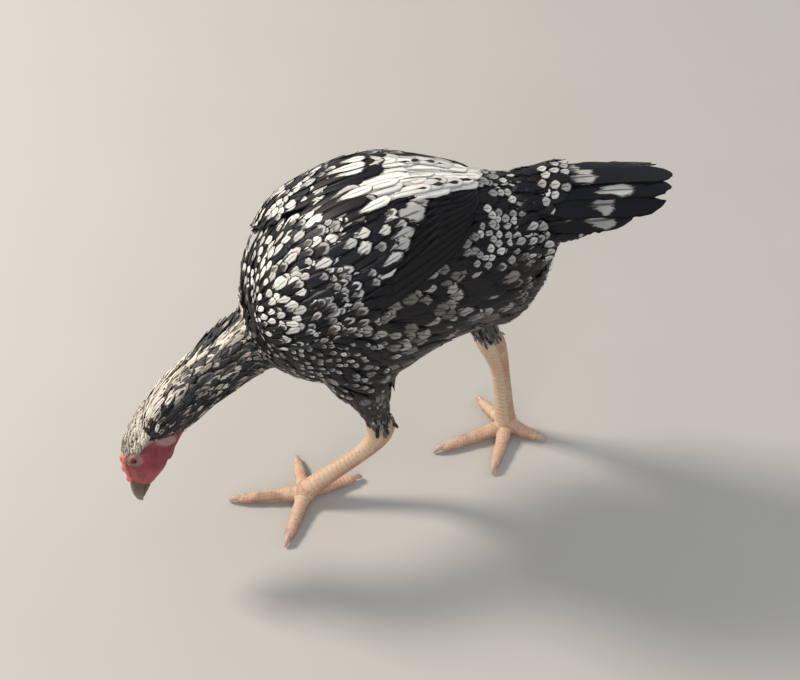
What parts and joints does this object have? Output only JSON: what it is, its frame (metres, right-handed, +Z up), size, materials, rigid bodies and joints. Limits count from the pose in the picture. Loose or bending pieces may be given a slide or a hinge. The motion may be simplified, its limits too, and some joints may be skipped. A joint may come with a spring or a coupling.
{
  "type": "life-size chicken model",
  "caption": "Life-size spangled black and white game hen, walking with its head held low, as one still model standing on its own feet.",
  "frame": {"origin": "on the floor, under the middle of the bird's bounding box", "axes": "+Z up; the bird walks towards -X; its left side is -Y"},
  "size_m": [0.4564, 0.1396, 0.3413],
  "materials": {
    "feathers": "black feathers with white spangles, satin sheen",
    "hackle": "cream and black neck feathers",
    "face": "bare red skin",
    "comb": "bare red skin, finely pimpled",
    "horn": "olive brown horn",
    "eye": "wet dark brown",
    "shank": "pinkish buff scales",
    "claw": "pale horn"
  },
  "bodies": {
    "root": {"trunk": "feathers", "tail": "feathers", "wing_left": "feathers", "wing_right": "feathers", "thigh_left": "feathers", "thigh_right": "feathers", "neck": "hackle", "head": "face", "comb": "comb", "beak_upper": "horn", "beak_lower": "horn", "eye_left": "eye", "eye_right": "eye", "shank_left": "shank", "shank_right": "shank", "toe_inner_left": "shank", "toe_middle_left": "shank", "toe_outer_left": "shank", "toe_hind_left": "shank", "toe_inner_right": "shank", "toe_middle_right": "shank", "toe_outer_right": "shank", "toe_hind_right": "shank", "claw_inner_left": "claw", "claw_middle_left": "claw", "claw_outer_left": "claw", "claw_hind_left": "claw", "claw_inner_right": "claw", "claw_middle_right": "claw", "claw_outer_right": "claw", "claw_hind_right": "claw"}
  },
  "joints": []
}
